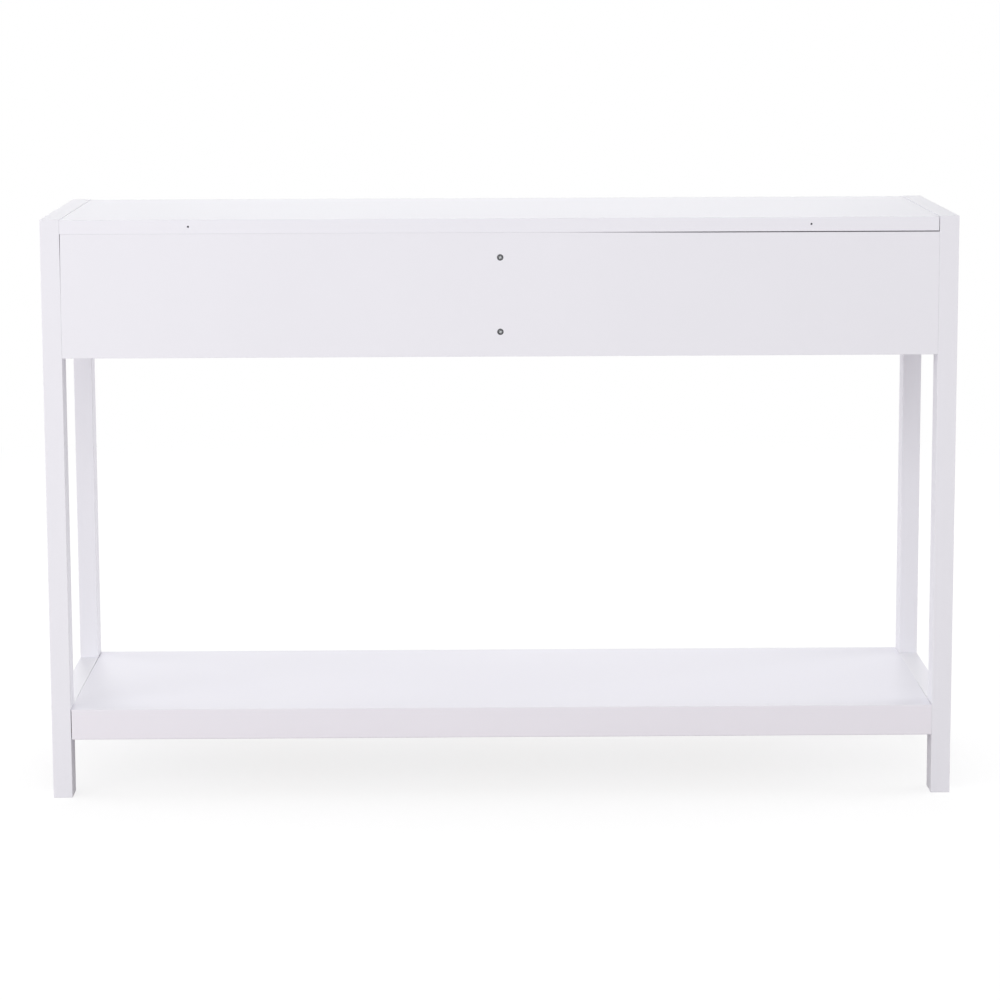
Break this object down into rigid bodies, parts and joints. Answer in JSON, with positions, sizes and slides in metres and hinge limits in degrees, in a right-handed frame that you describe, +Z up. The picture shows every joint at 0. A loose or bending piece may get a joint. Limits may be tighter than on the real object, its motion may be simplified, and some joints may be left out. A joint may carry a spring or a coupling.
{
  "type": "console table",
  "caption": "White console table with inset drawers on telescopic ball slides, a closed rear apron and a low shelf between post-and-panel ends.",
  "frame": {"origin": "centre of the footprint of the whole table, knobs included, on the floor", "axes": "+X to the right as seen from the drawers, +Y to the rear apron, +Z up"},
  "size_m": [1.18, 0.404, 0.76],
  "materials": {
    "white_lacquer": "smooth satin white lacquer on board, slightly cool",
    "drawer_foil": "white foil on particle board, satin",
    "drawer_hardboard": "thin hardboard, white painted face",
    "bare_pine": "planed softwood, unfinished",
    "beech_dowel": "fluted beech, unfinished",
    "zinc_fixing": "bright zinc plated",
    "slide_steel": "zinc plated sheet steel",
    "bearing_steel": "polished balls in a pressed strip",
    "knob_nickel": "turned metal, brushed nickel plate"
  },
  "bodies": {
    "frame": {"front_left_post": "white_lacquer", "front_right_post": "white_lacquer", "rear_left_post": "white_lacquer", "rear_right_post": "white_lacquer", "left_end_panel": "white_lacquer", "right_end_panel": "white_lacquer", "left_lower_rail": "white_lacquer", "right_lower_rail": "white_lacquer", "top_panel": "white_lacquer", "rear_apron": "white_lacquer", "centre_divider": "white_lacquer", "front_rail": "white_lacquer", "shelf_board": "white_lacquer", "shelf_front_lip": "white_lacquer", "shelf_rear_lip": "white_lacquer", "shelf_battens": "bare_pine", "frame_dowels": "beech_dowel", "frame_cam_bolts": "zinc_fixing", "frame_cam_locks": "zinc_fixing", "divider_screws": "zinc_fixing", "cabinet_rail_screws": "zinc_fixing", "left_bay_left_cabinet_rail": "slide_steel", "left_bay_right_cabinet_rail": "slide_steel", "right_bay_left_cabinet_rail": "slide_steel", "right_bay_right_cabinet_rail": "slide_steel"},
    "left_drawer": {"left_drawer_front": "white_lacquer", "left_drawer_left_side": "drawer_foil", "left_drawer_right_side": "drawer_foil", "left_drawer_back": "drawer_foil", "left_drawer_bottom": "drawer_hardboard", "left_drawer_knob": "knob_nickel", "left_drawer_knob_screw": "zinc_fixing", "left_drawer_dowels": "beech_dowel", "left_drawer_cam_bolts": "zinc_fixing", "left_drawer_cam_locks": "zinc_fixing", "left_drawer_rail_screws": "zinc_fixing", "left_drawer_left_rail": "slide_steel", "left_drawer_right_rail": "slide_steel"},
    "left_middle_rails": {"left_bay_left_middle_rail": "slide_steel", "left_bay_right_middle_rail": "slide_steel"},
    "left_outer_balls": {"left_bay_outer_ball_strips": "bearing_steel"},
    "left_inner_balls": {"left_bay_inner_ball_strips": "bearing_steel"},
    "right_drawer": {"right_drawer_front": "white_lacquer", "right_drawer_left_side": "drawer_foil", "right_drawer_right_side": "drawer_foil", "right_drawer_back": "drawer_foil", "right_drawer_bottom": "drawer_hardboard", "right_drawer_knob": "knob_nickel", "right_drawer_knob_screw": "zinc_fixing", "right_drawer_dowels": "beech_dowel", "right_drawer_cam_bolts": "zinc_fixing", "right_drawer_cam_locks": "zinc_fixing", "right_drawer_rail_screws": "zinc_fixing", "right_drawer_left_rail": "slide_steel", "right_drawer_right_rail": "slide_steel"},
    "right_middle_rails": {"right_bay_left_middle_rail": "slide_steel", "right_bay_right_middle_rail": "slide_steel"},
    "right_outer_balls": {"right_bay_outer_ball_strips": "bearing_steel"},
    "right_inner_balls": {"right_bay_inner_ball_strips": "bearing_steel"}
  },
  "joints": [
    {"name": "left_drawer_slide", "type": "slide", "parent": "frame", "child": "left_drawer", "axis": [0, -1, 0], "range_m": [0, 0.28]},
    {"name": "left_middle_slide", "type": "slide", "parent": "frame", "child": "left_middle_rails", "axis": [0, -1, 0], "range_m": [0, 0.14]},
    {"name": "left_outer_ball_slide", "type": "slide", "parent": "frame", "child": "left_outer_balls", "axis": [0, -1, 0], "range_m": [0, 0.07]},
    {"name": "left_inner_ball_slide", "type": "slide", "parent": "frame", "child": "left_inner_balls", "axis": [0, -1, 0], "range_m": [0, 0.21]},
    {"name": "right_drawer_slide", "type": "slide", "parent": "frame", "child": "right_drawer", "axis": [0, -1, 0], "range_m": [0, 0.28]},
    {"name": "right_middle_slide", "type": "slide", "parent": "frame", "child": "right_middle_rails", "axis": [0, -1, 0], "range_m": [0, 0.14]},
    {"name": "right_outer_ball_slide", "type": "slide", "parent": "frame", "child": "right_outer_balls", "axis": [0, -1, 0], "range_m": [0, 0.07]},
    {"name": "right_inner_ball_slide", "type": "slide", "parent": "frame", "child": "right_inner_balls", "axis": [0, -1, 0], "range_m": [0, 0.21]}
  ],
  "couplings": [
    {"joint": "left_middle_slide", "follows": "left_drawer_slide", "ratio": 0.5},
    {"joint": "left_outer_ball_slide", "follows": "left_drawer_slide", "ratio": 0.25},
    {"joint": "left_inner_ball_slide", "follows": "left_drawer_slide", "ratio": 0.75},
    {"joint": "right_middle_slide", "follows": "right_drawer_slide", "ratio": 0.5},
    {"joint": "right_outer_ball_slide", "follows": "right_drawer_slide", "ratio": 0.25},
    {"joint": "right_inner_ball_slide", "follows": "right_drawer_slide", "ratio": 0.75}
  ]
}
